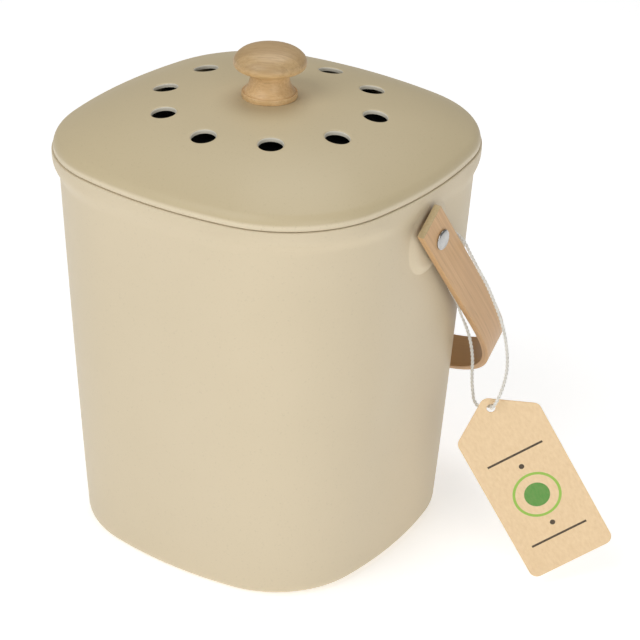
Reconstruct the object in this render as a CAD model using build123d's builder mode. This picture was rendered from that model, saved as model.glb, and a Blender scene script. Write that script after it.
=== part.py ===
from build123d import *
import os
from math import cos, sin, tan, radians, degrees, sqrt, pi

os.makedirs("parts", exist_ok=True)

# ------------------------------------------------------------------ driving dimensions (mm)
# bin: rounded-square tapering tub, origin at the centre of its base, +Z up
RIM_A, RIM_RC, RIM_RS = 92.0, 58.7, 224.2        # rim outline: half width, corner arc, side arc
TOP_A, TOP_RC, TOP_RS = 90.8, 69.0, 412.0        # wall outline, extended up to the rim height
BASE_A, BASE_RC, BASE_RS = 79.6, 51.0, 198.7     # wall outline at the base plane
RIM_Z = 198.8                                    # height of the rim, where the lid rests
FLARE_H = 10.5                                   # height of the flare below the rim
BASE_R = 5.6                                     # rounding between wall and base
WALL = 2.6                                       # wall thickness
FLOOR = 3.2                                      # floor thickness
RIM_ROUND = 0.7

# pivots of the bail handle, one on each X side
PIVOT_Z = 175.6
BOSS_X, BOSS_R = 91.2, 19.6                      # moulded round boss, its flat face and radius
PAD_X, PAD_R = 85.6, 8.5                         # flat pad inside the wall
SCREW_D = 5.0
HEAD_R = 4.9                                     # domed head of the pivot screw
FIT = 0.05                                       # radial running clearance

# handle: bent wooden strip
ARM_X, STRIP_T, STRIP_W = 93.6, 3.5, 18.0        # inner face of the arms, thickness, width
BAIL_L, BEND_H, BEND_N = 145.0, 79.4, 3.0        # pivot to grip, height of the bend, how full its curve is
ARM_END = 15.8                                   # strip beyond the pivot
BAIL_ANGLE = 38.75                               # from straight down towards +Y, resting on the wall

# lid
LID_A, LID_RC, LID_RS = 91.3, 58.3, 222.4        # lid outline
LID_T = 2.1
LID_TOP = 22.8                                   # crown above the rim
EDGE_S, EDGE_R = 0.965, 6.4                      # where the dome meets the rounded edge, its radius
SKIRT_A, SKIRT_RC, SKIRT_RS, SKIRT_T = 86.2, 64.0, 395.0, 2.2
SKIRT_DEPTH = 10.0
SEAL_OUT = 1.9                                   # how far the seal stands out from the skirt
VENT_R, VENT_D, VENT_N = 51.3, 11.4, 10
CUP_R, CUP_T = 60.4, 2.0                         # ring that holds the filter
CUP_BOTTOM = 3.2

# filter and its cover, measured up from the rim
FILTER_R, FILTER_Z, FILTER_T = 59.4, 6.8, 6.0
COVER_R, COVER_Z, COVER_T = 60.0, 4.6, 2.2

# knob on the lid
KNOB_H, KNOB_BASE_R, KNOB_MAX_R, KNOB_NECK_R = 24.7, 13.2, 17.2, 9.2


# ------------------------------------------------------------------ outline of four side arcs and four corner arcs
def arc_points(a, rc, rs):
    """tangent point between a side arc and a corner arc, and the middle of the corner"""
    k, d = rs - a, rs - rc
    c = (-2 * k + sqrt(4 * k * k - 8 * (k * k - d * d))) / 4
    m = sqrt((c + k) ** 2 + c * c)
    return -k + rs * (c + k) / m, rs * c / m, c + rc / sqrt(2)


def wall_at(z, inset=0.0):
    """outline of the tub at height z: straight taper, then the flare at the rim"""
    t = z / RIM_Z
    s = [BASE_A + (TOP_A - BASE_A) * t, BASE_RC + (TOP_RC - BASE_RC) * t, BASE_RS + (TOP_RS - BASE_RS) * t]
    z0 = RIM_Z - FLARE_H
    if z > z0:
        f = 1 - (1 - (z - z0) / FLARE_H) ** 2
        rim = (RIM_A, RIM_RC, RIM_RS)
        s = [s[i] + (rim[i] - s[i]) * f for i in range(3)]
    return [v - inset for v in s]


def tub(sections):
    """solid through stacked rounded-square outlines, each (z, half width, corner arc, side arc)"""
    with BuildPart() as body:
        for z, a, rc, rs in sections:
            tx, ty, cm = arc_points(a, rc, rs)
            with BuildSketch(Plane.XY.offset(z)):
                with BuildLine():
                    ThreePointArc((tx, -ty), (a, 0), (tx, ty))
                    ThreePointArc((tx, ty), (cm, cm), (ty, tx))
                    ThreePointArc((ty, tx), (0, a), (-ty, tx))
                    ThreePointArc((-ty, tx), (-cm, cm), (-tx, ty))
                    ThreePointArc((-tx, ty), (-a, 0), (-tx, -ty))
                    ThreePointArc((-tx, -ty), (-cm, -cm), (-ty, -tx))
                    ThreePointArc((-ty, -tx), (0, -a), (ty, -tx))
                    ThreePointArc((ty, -tx), (cm, -cm), (tx, -ty))
                make_face()
        loft(ruled=True)
    return body.part


def dome(s):
    """height of the lid's outside above the rim, at the fraction s of its outline"""
    return LID_TOP - 5.86 * s * s - 11.65 * s ** 4


flare_zs = [RIM_Z - FLARE_H * u for u in (1.0, 0.8, 0.6, 0.4, 0.2)]

# ------------------------------------------------------------------ bin body
outer = []
for ang in (0, 18, 36, 54, 72, 90):
    z = BASE_R * (1 - cos(radians(ang)))
    outer.append((z, *wall_at(z, BASE_R * (1 - sin(radians(ang))))))
outer += [(z, *wall_at(z)) for z in flare_zs]
outer += [(RIM_Z - RIM_ROUND, *wall_at(RIM_Z - RIM_ROUND)), (RIM_Z, *wall_at(RIM_Z, RIM_ROUND * 0.6))]

inner = []
for ang in (0, 30, 60, 90):
    z = FLOOR + 4.0 * (1 - cos(radians(ang)))
    inner.append((z, *wall_at(z, WALL + 4.0 * (1 - sin(radians(ang))))))
inner += [(z, *wall_at(z, WALL)) for z in flare_zs]
inner += [(RIM_Z, *wall_at(RIM_Z, WALL)), (RIM_Z + 1, *wall_at(RIM_Z, WALL))]

tub_outside, tub_inside = tub(outer), tub(inner)

with BuildPart() as bin_body:
    add(tub_outside)
    # round bosses for the handle pivots, drafted towards their flat face
    for side in (1, -1):
        with BuildSketch(Plane(origin=(side * 80, 0, PIVOT_Z), x_dir=(0, side, 0), z_dir=(side, 0, 0))):
            Circle(BOSS_R + 1.6)
        with BuildSketch(Plane(origin=(side * BOSS_X, 0, PIVOT_Z), x_dir=(0, side, 0), z_dir=(side, 0, 0))):
            Circle(BOSS_R - 1.2)
        loft()
    add(tub_inside, mode=Mode.SUBTRACT)
    # flat pads inside for the washers
    for side in (1, -1):
        with BuildSketch(Plane(origin=(side * PAD_X, 0, PIVOT_Z), x_dir=(0, side, 0), z_dir=(side, 0, 0))):
            Circle(PAD_R)
        extrude(amount=BOSS_X - PAD_X - 1.5)
    # screw holes
    with BuildSketch(Plane(origin=(-100, 0, PIVOT_Z), x_dir=(0, 1, 0), z_dir=(1, 0, 0))):
        Circle(SCREW_D / 2 + FIT)
    extrude(amount=200, mode=Mode.SUBTRACT)
bin_body.part.label = "bin_body"
export_step(bin_body.part, "parts/bin_body.step")

# ------------------------------------------------------------------ lid shell
edge_in = (1 - EDGE_S) * LID_A
z_edge = dome(EDGE_S)
lid_out = [(RIM_Z + 0.25, 1 - 0.5 / LID_A), (RIM_Z + 0.75, 1.0)]
for ang in (90, 78, 66, 54, 42, 30):
    lid_out.append((RIM_Z + z_edge - EDGE_R * (cos(radians(30)) - cos(radians(ang))),
                    1 - (EDGE_R * (1 - sin(radians(ang)))) / LID_A))
for s in (0.90, 0.82, 0.73, 0.63, 0.52, 0.41, 0.30, 0.20, 0.155):
    lid_out.append((RIM_Z + dome(s), s))

lid_in = [(RIM_Z - 1, 1 - LID_T / LID_A), (RIM_Z + 1.6, 1 - LID_T / LID_A)]
for s in (0.925, 0.86, 0.78, 0.68, 0.57, 0.45, 0.33, 0.22, 0.155):
    lid_in.append((RIM_Z + dome(s) - LID_T * (1.0 + 0.35 * max(0, s - 0.75)), s))


def scaled(rows):
    return [(z, LID_A * s, LID_RC * s, LID_RS * s) for z, s in rows]


lid_outside, lid_inside = tub(scaled(lid_out)), tub(scaled(lid_in))
skirt_outside = tub([(RIM_Z - SKIRT_DEPTH, SKIRT_A, SKIRT_RC, SKIRT_RS), (RIM_Z + 7.0, SKIRT_A, SKIRT_RC, SKIRT_RS)])
skirt_inside = tub([(z, SKIRT_A - SKIRT_T, SKIRT_RC - SKIRT_T, SKIRT_RS - SKIRT_T)
                    for z in (RIM_Z - SKIRT_DEPTH - 1, RIM_Z + 8.0)])

with BuildPart() as under_lid:
    # skirt that drops inside the rim, and the ring that holds the filter
    add(skirt_outside)
    add(skirt_inside, mode=Mode.SUBTRACT)
    with BuildSketch(Plane.XY.offset(RIM_Z + CUP_BOTTOM)):
        Circle(CUP_R + CUP_T)
        Circle(CUP_R, mode=Mode.SUBTRACT)
    extrude(amount=14.1)

with BuildPart() as lid_shell:
    add(lid_outside)
    add(lid_inside, mode=Mode.SUBTRACT)
    add(under_lid.part)
    # vent holes
    with BuildSketch(Plane.XY.offset(RIM_Z + 12)):
        with PolarLocations(VENT_R, VENT_N, start_angle=90):
            Circle(VENT_D / 2)
    extrude(amount=20, mode=Mode.SUBTRACT)
    # hole for the knob screw
    with BuildSketch(Plane.XY.offset(RIM_Z + 12)):
        Circle(SCREW_D / 2 + FIT)
    extrude(amount=20, mode=Mode.SUBTRACT)
lid_shell.part.label = "lid_shell"
export_step(lid_shell.part, "parts/lid_shell.step")

# ------------------------------------------------------------------ silicone seal round the skirt
seal_out = tub([(RIM_Z - z, SKIRT_A + d, SKIRT_RC + d, SKIRT_RS + d)
                for z, d in ((7.5, SEAL_OUT - 0.6), (6.6, SEAL_OUT), (5.4, SEAL_OUT), (4.5, SEAL_OUT - 0.6))])
seal_in = tub([(z, SKIRT_A, SKIRT_RC, SKIRT_RS) for z in (RIM_Z - 8, RIM_Z - 4)])
with BuildPart() as lid_seal:
    add(seal_out)
    add(seal_in, mode=Mode.SUBTRACT)
lid_seal.part.label = "lid_seal"
export_step(lid_seal.part, "parts/lid_seal.step")

# ------------------------------------------------------------------ filter disc and the slotted cover that holds it
with BuildPart() as carbon_filter:
    with BuildSketch(Plane.XY.offset(RIM_Z + FILTER_Z)):
        Circle(FILTER_R)
    extrude(amount=FILTER_T)
    chamfer(carbon_filter.edges().filter_by(GeomType.CIRCLE), length=0.6)
carbon_filter.part.label = "carbon_filter"
export_step(carbon_filter.part, "parts/carbon_filter.step")

with BuildPart() as filter_cover:
    with BuildSketch(Plane.XY.offset(RIM_Z + COVER_Z)):
        Circle(COVER_R)
        for radius, count in ((20.0, 8), (33.5, 12), (47.5, 16)):
            with PolarLocations(radius, count):
                SlotOverall(8.5, 4.0, rotation=90, mode=Mode.SUBTRACT)
    extrude(amount=COVER_T)
    # finger tab
    with BuildSketch(Plane.XY.offset(RIM_Z + COVER_Z)):
        SlotOverall(18.0, 3.0)
    extrude(amount=-7.0)
filter_cover.part.label = "filter_cover"
export_step(filter_cover.part, "parts/filter_cover.step")

# ------------------------------------------------------------------ turned knob, its threaded insert, screw and washer
seat_z = RIM_Z + dome(0.155)                     # flat seat on the crown
with BuildPart() as lid_knob:
    with BuildSketch(Plane(origin=(0, 0, seat_z), x_dir=(1, 0, 0), z_dir=(0, -1, 0))):
        with BuildLine():
            Polyline((0, 0), (KNOB_BASE_R - 0.3, 0), (KNOB_BASE_R, 0.4), (KNOB_BASE_R, 1.6), (KNOB_BASE_R - 0.3, 2.6),
                     (KNOB_BASE_R - 0.8, 2.9))
            ThreePointArc((KNOB_BASE_R - 0.8, 2.9), (10.2, 5.6), (KNOB_NECK_R, 10.4))
            ThreePointArc((KNOB_NECK_R, 10.4), (11.7, 13.1), (15.3, 14.2))
            Spline((15.3, 14.2), (16.7, 15.3), (KNOB_MAX_R, 17.3), (15.4, 20.6), (11.6, 22.9), (6.2, 24.3), (0, KNOB_H),
                   tangents=((1, 0.25), (-1, 0)))
            Line((0, KNOB_H), (0, 0))
        make_face()
    revolve(axis=Axis.Z)
    with BuildSketch(Plane.XY.offset(seat_z)):
        Circle(4.0)
    extrude(amount=14.0, mode=Mode.SUBTRACT)
lid_knob.part.label = "lid_knob"
export_step(lid_knob.part, "parts/lid_knob.step")

with BuildPart() as knob_insert:
    with BuildSketch(Plane.XY.offset(seat_z + 0.4)):
        Circle(4.0)
        Circle(SCREW_D / 2 + FIT, mode=Mode.SUBTRACT)
    extrude(amount=12.0)
knob_insert.part.label = "knob_insert"
export_step(knob_insert.part, "parts/knob_insert.step")

under_crown = RIM_Z + dome(0.155) - LID_T        # flat inside of the crown
with BuildPart() as knob_washer:
    with BuildSketch(Plane.XY.offset(under_crown - 1.0)):
        Circle(7.0)
        Circle(SCREW_D / 2 + FIT, mode=Mode.SUBTRACT)
    extrude(amount=1.0)
knob_washer.part.label = "knob_washer"
export_step(knob_washer.part, "parts/knob_washer.step")

with BuildPart() as knob_screw:
    with BuildSketch(Plane.XY.offset(under_crown - 1.0)):
        Circle(SCREW_D / 2)
    extrude(amount=15.0)
    with BuildSketch(Plane.XY.offset(under_crown - 3.9)):
        Circle(4.6)
    extrude(amount=2.9)
    fillet(knob_screw.faces().sort_by(Axis.Z)[0].edges(), radius=1.2)
    # cross slot in the head
    with BuildSketch(Plane.XY.offset(under_crown - 4.0)):
        Rectangle(5.0, 1.0)
        Rectangle(1.0, 5.0)
    extrude(amount=1.6, mode=Mode.SUBTRACT)
knob_screw.part.label = "knob_screw"
export_step(knob_screw.part, "parts/knob_screw.step")

# ------------------------------------------------------------------ bail handle: one bent strip
across = Vector(0, cos(radians(BAIL_ANGLE)), sin(radians(BAIL_ANGLE)))
bail_plane = Plane(origin=(0, 0, PIVOT_Z), x_dir=(1, 0, 0), z_dir=tuple(across))
xi, xo, end, straight = ARM_X, ARM_X + STRIP_T, -ARM_END, BAIL_L - BEND_H


def bend(share, depth):
    """point of the bent part: share 0 at the end of the straight arm, 1 at the middle of the grip; depth outwards"""
    c, d = max(cos(radians(90 * share)), 1e-9), max(sin(radians(90 * share)), 1e-9)
    nx, nv = c ** (2 - 2 / BEND_N) / xi, d ** (2 - 2 / BEND_N) / BEND_H
    m = sqrt(nx * nx + nv * nv)
    return xi * c ** (2 / BEND_N) + nx / m * depth, straight + BEND_H * d ** (2 / BEND_N) + nv / m * depth


shares = [0.03, 0.09, 0.18, 0.29, 0.40, 0.50, 0.60, 0.71, 0.82, 0.91, 0.97]
right_in, right_out = [bend(t, 0) for t in shares], [bend(t, STRIP_T) for t in shares]
line_in = right_in + [(0, BAIL_L)] + [(-x, v) for x, v in right_in[::-1]]
line_out = right_out + [(0, BAIL_L + STRIP_T)] + [(-x, v) for x, v in right_out[::-1]]
with BuildPart() as handle_bail:
    with BuildSketch(bail_plane.offset(-STRIP_W / 2)):
        with BuildLine():
            Polyline((xi, straight), (xi, end), (xo, end), (xo, straight))
            Spline((xo, straight), *line_out, (-xo, straight), tangents=((0, 1), (0, -1)))
            Polyline((-xo, straight), (-xo, end), (-xi, end), (-xi, straight))
            Spline((-xi, straight), *[(x, v) for x, v in line_in[::-1]], (xi, straight), tangents=((0, 1), (0, -1)))
        make_face()
    extrude(amount=STRIP_W)
    # corners at both ends, barely eased
    fillet(handle_bail.edges().filter_by(Axis.X).filter_by(lambda e: e.length < STRIP_T + 0.1), radius=0.5)
    # holes for the bushes
    with BuildSketch(Plane(origin=(-110, 0, PIVOT_Z), x_dir=(0, 1, 0), z_dir=(1, 0, 0))):
        Circle(3.3)
    extrude(amount=220, mode=Mode.SUBTRACT)
handle_bail.part.label = "handle_bail"
export_step(handle_bail.part, "parts/handle_bail.step")

# ------------------------------------------------------------------ pivot hardware, one set on each side
HEAD_X = xo + 0.1                                # underside of the domed head
for side, name in ((1, "right"), (-1, "left")):
    def at(x):
        return Plane(origin=(side * x, 0, PIVOT_Z), x_dir=(0, side, 0), z_dir=(side, 0, 0))

    with BuildPart() as pivot_bush:
        with BuildSketch(at(xi)):
            Circle(3.3)
            Circle(SCREW_D / 2 + FIT, mode=Mode.SUBTRACT)
        extrude(amount=STRIP_T)
    pivot_bush.part.label = f"pivot_bush_{name}"
    export_step(pivot_bush.part, f"parts/pivot_bush_{name}.step")

    with BuildPart() as pivot_spacer:
        with BuildSketch(at(BOSS_X)):
            Circle(3.3)
            Circle(SCREW_D / 2 + FIT, mode=Mode.SUBTRACT)
        extrude(amount=xi - BOSS_X - 0.1)
    pivot_spacer.part.label = f"pivot_spacer_{name}"
    export_step(pivot_spacer.part, f"parts/pivot_spacer_{name}.step")

    with BuildPart() as pivot_screw:
        with BuildSketch(at(PAD_X - 7.0)):
            Circle(SCREW_D / 2)
        extrude(amount=HEAD_X - PAD_X + 7.0)
        with BuildSketch(at(HEAD_X)):
            Circle(HEAD_R)
        extrude(amount=0.5)
        with BuildSketch(at(HEAD_X + 0.5)):
            Circle(HEAD_R)
        with BuildSketch(at(HEAD_X + 1.0)):
            Circle(HEAD_R - 0.6)
        with BuildSketch(at(HEAD_X + 1.4)):
            Circle(HEAD_R - 2.3)
        loft(ruled=True)
    pivot_screw.part.label = f"pivot_screw_{name}"
    export_step(pivot_screw.part, f"parts/pivot_screw_{name}.step")

    with BuildPart() as inner_washer:
        with BuildSketch(at(PAD_X - 1.0)):
            Circle(6.5)
            Circle(SCREW_D / 2 + FIT, mode=Mode.SUBTRACT)
        extrude(amount=1.0)
    inner_washer.part.label = f"inner_washer_{name}"
    export_step(inner_washer.part, f"parts/inner_washer_{name}.step")

    with BuildPart() as pivot_nut:
        with BuildSketch(at(PAD_X - 5.0)):
            RegularPolygon(radius=4.62, side_count=6)
        extrude(amount=4.0)
        with BuildSketch(at(PAD_X - 5.0)):
            Circle(3.8)
        extrude(amount=-3.4)
        with BuildSketch(at(PAD_X - 7.2)):
            Circle(SCREW_D / 2 + FIT)
        extrude(amount=6.3, mode=Mode.SUBTRACT)
    pivot_nut.part.label = f"pivot_nut_{name}"
    export_step(pivot_nut.part, f"parts/pivot_nut_{name}.step")

# ------------------------------------------------------------------ hang tag on a loop of string
HOLE = Vector(124.0, 8.2, 92.74)                 # centre of the card's hole
CARD_N = Vector(0.5675, -0.8115, 0.1392).normalized()   # normal of the printed face
CARD_T = 0.8
CARD_A, CARD_PEAK, CARD_CLIP, CARD_FOOT = 21.7, 6.4, 8.7, 89.4   # half width, and heights from the hole
CARD_OFF = -0.9                                  # middle line, beside the hole
CARD_R = 4.2
CARD_TILT = 30.0                                 # the card's long axis, from hanging straight down
STRING_D = 1.2
KNOT_BACK, KNOT_R = 3.4, 1.8                     # knot behind the hole

card_x = Vector(0, 0, 1).cross(CARD_N).normalized()
card_y = CARD_N.cross(card_x)
tilt = radians(CARD_TILT)
tag_plane = Plane(origin=tuple(HOLE), x_dir=tuple(card_x * cos(tilt) + card_y * sin(tilt)), z_dir=tuple(CARD_N))

with BuildPart() as tag_card:
    with BuildSketch(tag_plane.offset(-CARD_T / 2)):
        with BuildLine():
            FilletPolyline((CARD_OFF, CARD_PEAK), (CARD_OFF + CARD_A, -CARD_CLIP), (CARD_OFF + CARD_A, -CARD_FOOT),
                           (CARD_OFF - CARD_A, -CARD_FOOT), (CARD_OFF - CARD_A, -CARD_CLIP), radius=CARD_R, close=True)
        make_face()
        Circle(2.1, mode=Mode.SUBTRACT)
    extrude(amount=CARD_T)
tag_card.part.label = "tag_card"
export_step(tag_card.part, "parts/tag_card.step")

# the string: from the knot behind the card, up behind the arm, over the spacer,
# down outside the arm and back through the hole
STRING_ROUTE = [(120.62, 11.20, 91.43), (118.49, 11.55, 90.19), (114.82, 12.60, 88.26), (111.39, 14.02, 89.74),
                (110.15, 14.92, 92.87), (108.80, 15.71, 97.90), (107.00, 18.45, 102.85), (104.80, 22.21, 107.22),
                (101.40, 25.13, 113.76), (97.20, 27.67, 119.13), (92.95, 28.79, 124.09), (92.85, 24.90, 132.00),
                (92.85, 19.00, 139.00), (92.85, 12.00, 149.00), (92.85, 4.60, 161.00), (92.85, -0.90, 168.30),
                (92.85, -4.56, 174.43), (92.85, -4.28, 177.57), (92.85, -2.08, 179.82), (92.85, 1.05, 180.19),
                (92.85, 6.60, 177.80), (92.85, 15.07, 174.08), (96.40, 21.00, 167.36), (100.70, 20.30, 161.70),
                (105.25, 20.35, 155.37), (110.25, 21.14, 148.17), (115.25, 20.55, 140.41), (119.65, 21.37, 130.69),
                (123.40, 20.10, 121.03), (126.40, 17.32, 111.90), (127.80, 12.17, 104.19), (127.70, 7.19, 98.70),
                (126.00, 6.38, 94.83), (124.40, 7.63, 92.84), (123.03, 9.58, 92.50)]
STRING_END = (STRING_D / 2)
knot_c = HOLE - CARD_N * KNOT_BACK
reach = sqrt(KNOT_R ** 2 - STRING_END ** 2)      # flats on the knot where the string enters
first_dir = (Vector(*STRING_ROUTE[1]) - knot_c).normalized()
STRING_ROUTE[0] = tuple(knot_c + first_dir * reach)
STRING_ROUTE[-1] = tuple(knot_c + CARD_N * reach)
pts = [Vector(*p) for p in STRING_ROUTE]
runs = [(b - a).length for a, b in zip(pts, pts[1:])]
radii = []
for i in range(1, len(pts) - 1):
    turn = (pts[i] - pts[i - 1]).get_angle(pts[i + 1] - pts[i])
    radii.append(0.45 * min(runs[i - 1], runs[i]) / tan(radians(turn / 2)))
print("string radii:", [round(r, 1) for r in radii])

with BuildPart() as tag_string:
    with BuildLine() as string_line:
        FilletPolyline(*[tuple(p) for p in pts], radius=radii)
    with BuildSketch(Plane(origin=tuple(pts[0]), z_dir=tuple(first_dir))):
        Circle(STRING_D / 2)
    sweep(path=string_line.wires()[0])
tag_string.part.label = "tag_string"
export_step(tag_string.part, "parts/tag_string.step")
length = string_line.wires()[0].length
print("string length:", round(length, 2), "volume", round(tag_string.part.volume, 3),
      "section x length", round(pi * STRING_D ** 2 / 4 * length, 3))

with BuildPart() as string_knot:
    with Locations(tuple(knot_c)):
        Sphere(KNOT_R)
    split(bisect_by=Plane(origin=tuple(knot_c + first_dir * reach), z_dir=tuple(first_dir)), keep=Keep.BOTTOM)
    split(bisect_by=Plane(origin=tuple(knot_c + CARD_N * reach), z_dir=tuple(CARD_N)), keep=Keep.BOTTOM)
string_knot.part.label = "string_knot"
export_step(string_knot.part, "parts/string_knot.step")
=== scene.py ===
from math import sin, cos, tan, pi, radians, sqrt, atan2, hypot, tau

import bpy
import bmesh
from mathutils import Matrix, Vector
from mathutils.geometry import delaunay_2d_cdt


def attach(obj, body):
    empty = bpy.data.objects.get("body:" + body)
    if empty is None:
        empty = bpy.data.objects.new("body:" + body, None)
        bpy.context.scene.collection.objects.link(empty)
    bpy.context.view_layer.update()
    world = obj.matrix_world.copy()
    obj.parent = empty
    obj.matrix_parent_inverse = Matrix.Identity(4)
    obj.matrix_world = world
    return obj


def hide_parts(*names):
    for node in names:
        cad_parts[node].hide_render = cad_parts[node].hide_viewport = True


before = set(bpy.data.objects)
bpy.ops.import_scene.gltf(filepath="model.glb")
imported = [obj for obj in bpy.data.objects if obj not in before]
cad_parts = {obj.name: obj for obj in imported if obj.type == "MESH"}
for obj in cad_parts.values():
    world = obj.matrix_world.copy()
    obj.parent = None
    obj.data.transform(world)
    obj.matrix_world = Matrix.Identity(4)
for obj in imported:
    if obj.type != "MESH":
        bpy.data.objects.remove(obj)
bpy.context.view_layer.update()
MM = 0.001

# ------------------------------------------------------------------ camera at the photograph's angle
cam_data = bpy.data.cameras.new("camera")
cam_data.lens = 122.13
cam_data.sensor_width = 36.0
cam_data.clip_start, cam_data.clip_end = 0.05, 50.0
cam = bpy.data.objects.new("camera", cam_data)
bpy.context.collection.objects.link(cam)
cx = Vector((0.82707568, 0.5614225, 0.02739692))
cy = Vector((-0.28229434, 0.37273372, 0.88395672))
cz = Vector((0.48606144, -0.7388331, 0.46676539))
cam.matrix_world = Matrix(((cx.x, cy.x, cz.x, 0.540672), (cx.y, cy.y, cz.y, -0.773229), (cx.z, cy.z, cz.z, 0.601962), (0, 0, 0, 1)))
bpy.context.scene.camera = cam


# ------------------------------------------------------------------ helpers
def new_object(name, verts, faces, sharp=35.0):
    mesh = bpy.data.meshes.new(name)
    mesh.from_pydata([tuple(c * MM for c in v) for v in verts], [], faces)
    bm = bmesh.new()
    bm.from_mesh(mesh)
    bmesh.ops.remove_doubles(bm, verts=bm.verts, dist=3e-6)
    bmesh.ops.dissolve_degenerate(bm, edges=bm.edges, dist=1e-7)
    bmesh.ops.recalc_face_normals(bm, faces=bm.faces)
    for f in bm.faces:
        f.smooth = True
    bm.to_mesh(mesh)
    bm.free()
    mesh.set_sharp_from_angle(angle=radians(sharp))
    obj = bpy.data.objects.new(name, mesh)
    bpy.context.collection.objects.link(obj)
    return obj


def put(obj, body, material, slot, *nodes):
    obj.data.materials.clear()
    obj.data.materials.append(material)
    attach(obj, body)
    if nodes:
        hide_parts(*nodes)
    return obj


class Build:
    """vertices and faces gathered in millimetres"""
    def __init__(self):
        self.v, self.f = [], []

    def ring_stack(self, rings, closed=True, cap=(False, False)):
        n = len(rings[0])
        base = len(self.v)
        for r in rings:
            self.v.extend(r)
        for i in range(len(rings) - 1):
            for j in range(n if closed else n - 1):
                a, b = base + i * n + j, base + i * n + (j + 1) % n
                self.f.append((a, b, b + n, a + n))
        if cap[0]:
            self.f.append(tuple(range(base + n - 1, base - 1, -1)))
        if cap[1]:
            last = base + (len(rings) - 1) * n
            self.f.append(tuple(range(last, last + n)))
        return base

    def tris(self, verts, faces):
        base = len(self.v)
        self.v.extend(verts)
        self.f.extend(tuple(base + i for i in f) for f in faces)


def inside(poly, x, y):
    hit = False
    for (x0, y0), (x1, y1) in zip(poly, poly[1:] + poly[:1]):
        if (y0 > y) != (y1 > y) and x < (x1 - x0) * (y - y0) / (y1 - y0) + x0:
            hit = not hit
    return hit


def patch(boundary, extra, rings, holes):
    """triangles over a plane region: a closed boundary, loose points, rings kept as edges, and holes (x, y, r)"""
    pts, edges = [Vector(p) for p in boundary], []
    n = len(boundary)
    edges += [(i, (i + 1) % n) for i in range(n)]
    pts += [Vector(p) for p in extra]
    for ring in rings:
        k = len(pts)
        pts += [Vector(p) for p in ring]
        edges += [(k + i, k + (i + 1) % len(ring)) for i in range(len(ring))]
    out, _, faces, _, _, _ = delaunay_2d_cdt(pts, edges, [], 0, 1e-5)
    keep = []
    for f in faces:
        mx, my = sum(out[i].x for i in f) / len(f), sum(out[i].y for i in f) / len(f)
        if any(hypot(mx - hx, my - hy) < hr * 0.999 for hx, hy, hr in holes):
            continue
        if inside(boundary, mx, my):
            keep.append(tuple(f))
    return [(p.x, p.y) for p in out], keep


def revolve(profile, n=96):
    """rings of a turned shape from (radius, height) rows, about the local Z axis"""
    return [[(r * cos(tau * j / n), r * sin(tau * j / n), z) for j in range(n)] for r, z in profile]


def smax(a, b, k):
    h = min(1.0, max(0.0, 0.5 + 0.5 * (a - b) / k))
    return b * (1 - h) + a * h + k * h * (1 - h)


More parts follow.
